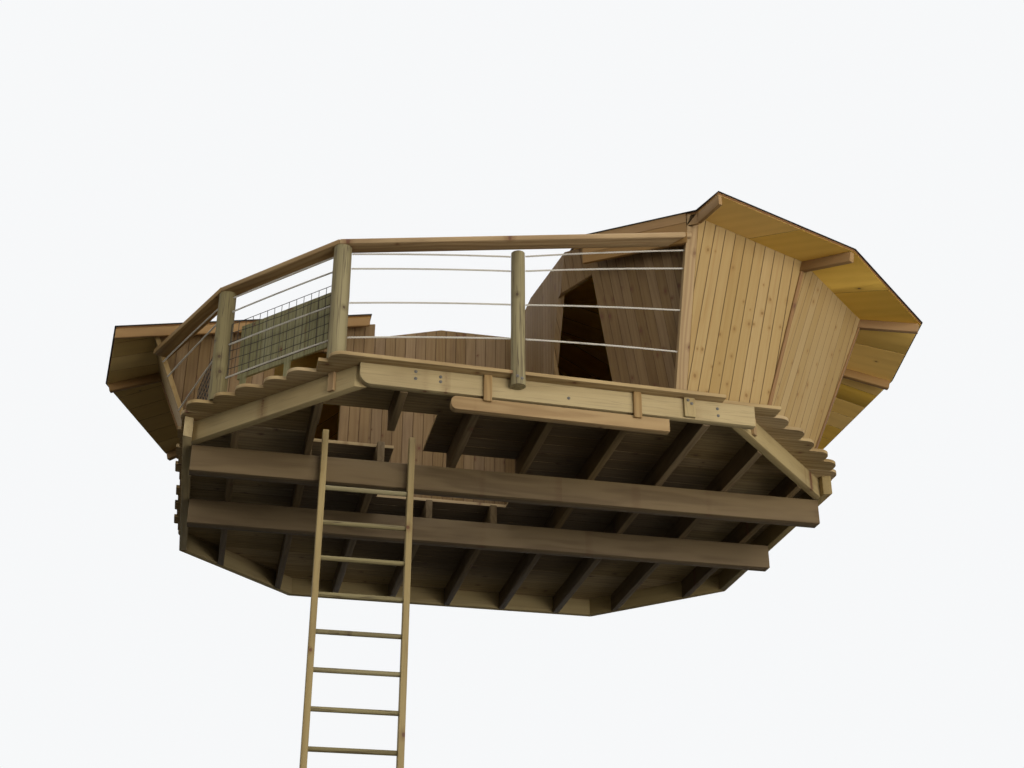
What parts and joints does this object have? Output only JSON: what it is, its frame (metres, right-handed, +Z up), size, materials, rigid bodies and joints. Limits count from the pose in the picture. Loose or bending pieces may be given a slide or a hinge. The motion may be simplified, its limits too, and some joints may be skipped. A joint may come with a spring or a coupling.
{
  "type": "tree house",
  "caption": "Low wooden cabin with outward-leaning board walls and a wide-eaved faceted roof on an eight-sided deck round a tree trunk, with an open rope-railed terrace and a ladder.",
  "frame": {"origin": "centre of the flat face of the front trunk beam that bears on the tree", "axes": "+X to the right along the front edge of the deck, +Y back from the terrace into the tree, +Z up"},
  "size_m": [7.2124, 6.8545, 8.4851],
  "materials": {
    "wall_boards": "planed softwood boards, unpainted, with knots",
    "floor_boards": "rough sawn boards with wavy edges",
    "sawn_timber": "sawn construction timber, unpainted",
    "round_poles": "debarked round poles",
    "roof_boards": "ochre roof boarding seen from below",
    "roofing": "thin dark roofing sheet",
    "rope": "off-white twisted rope",
    "net": "knotted cord net"
  },
  "bodies": {
    "root": {"beam_hangers": "sawn_timber", "cabin_post": "sawn_timber", "cabin_post_block": "sawn_timber", "corner_handrail": "sawn_timber", "corner_net": "net", "corner_post": "round_poles", "corner_screen": "wall_boards", "floor_front": "floor_boards", "floor_left_of_hatch": "floor_boards", "floor_left_of_trunk": "floor_boards", "floor_rear": "floor_boards", "floor_right_of_hatch": "floor_boards", "floor_right_of_trunk": "floor_boards", "front_handrail": "sawn_timber", "front_right_wall": "wall_boards", "front_rim_beam": "sawn_timber", "front_trunk_beam": "sawn_timber", "front_verge_board": "sawn_timber", "front_wall": "wall_boards", "hip_rafters": "sawn_timber", "inner_left_wall": "wall_boards", "inner_rear_wall": "wall_boards", "inner_right_wall": "wall_boards", "joists": "sawn_timber", "ladder_left_stile": "sawn_timber", "ladder_right_stile": "sawn_timber", "ladder_rungs": "round_poles", "left_corner_beam": "sawn_timber", "left_gable_beside_post": "wall_boards", "left_gable_beside_trunk": "wall_boards", "left_gable_head": "wall_boards", "left_handrail": "sawn_timber", "left_net": "net", "left_post": "round_poles", "left_rear_wall": "wall_boards", "left_rim_beam": "sawn_timber", "left_verge_board": "sawn_timber", "left_wall": "wall_boards", "lower_front_beam": "sawn_timber", "middle_post": "round_poles", "rail_ropes": "rope", "rear_corner_beams": "sawn_timber", "rear_left_wall": "wall_boards", "rear_right_wall": "wall_boards", "rear_rim_beam": "sawn_timber", "rear_trunk_beam": "sawn_timber", "rear_wall": "wall_boards", "right_corner_beam": "sawn_timber", "right_gable_beside_post": "wall_boards", "right_gable_beside_trunk": "wall_boards", "right_gable_head": "wall_boards", "right_narrow_wall": "wall_boards", "right_rear_wall": "wall_boards", "right_rim_beam": "sawn_timber", "right_verge_board": "sawn_timber", "right_wall": "wall_boards", "roof_boards": "roof_boards", "roof_skin": "roofing"}
  },
  "joints": []
}
